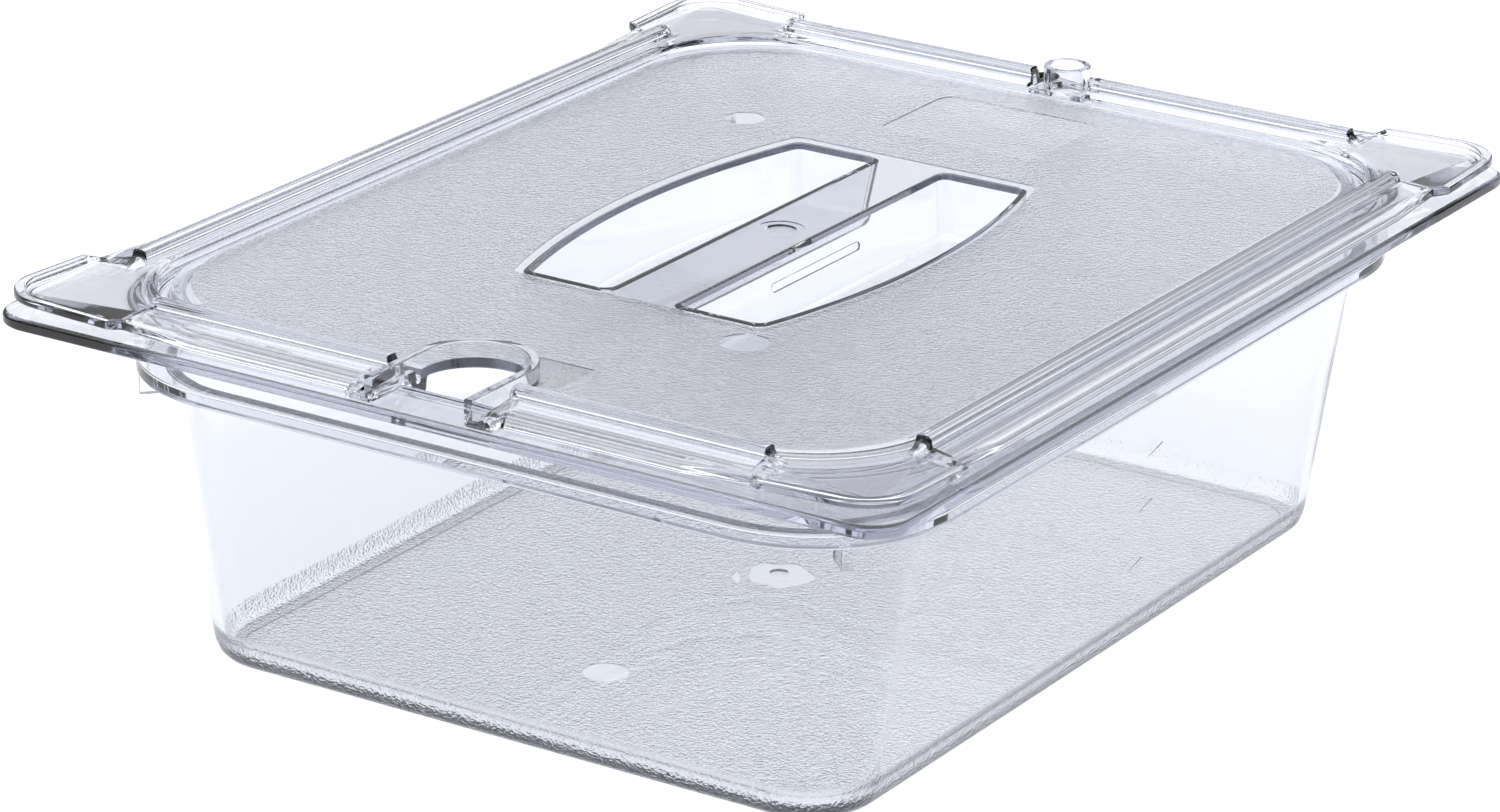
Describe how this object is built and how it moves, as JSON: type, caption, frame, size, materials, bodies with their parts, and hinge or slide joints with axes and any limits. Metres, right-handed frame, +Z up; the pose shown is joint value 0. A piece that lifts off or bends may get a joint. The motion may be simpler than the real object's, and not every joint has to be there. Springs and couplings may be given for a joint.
{
  "type": "food pan with lid",
  "caption": "Clear rectangular food pan with a wide flange, tapered walls and a lift-off notched lid with finger pockets.",
  "frame": {"origin": "middle of the pan's flat base, on the surface that it stands on", "axes": "+Z up, +Y along the longer sides towards the side with the small round port, +X along the shorter sides"},
  "size_m": [0.265, 0.325, 0.106],
  "materials": {
    "pan_plastic": "clear moulded polycarbonate, fine pebble texture on the base",
    "lid_plastic": "clear moulded polycarbonate, fine pebble texture on the panel"
  },
  "bodies": {
    "pan": {"food_pan": "pan_plastic"},
    "lid": {"lid": "lid_plastic"}
  },
  "joints": [
    {"name": "lid_lift", "type": "slide", "parent": "pan", "child": "lid", "axis": [0, 0, 1], "range_m": [0, 0.12]}
  ]
}
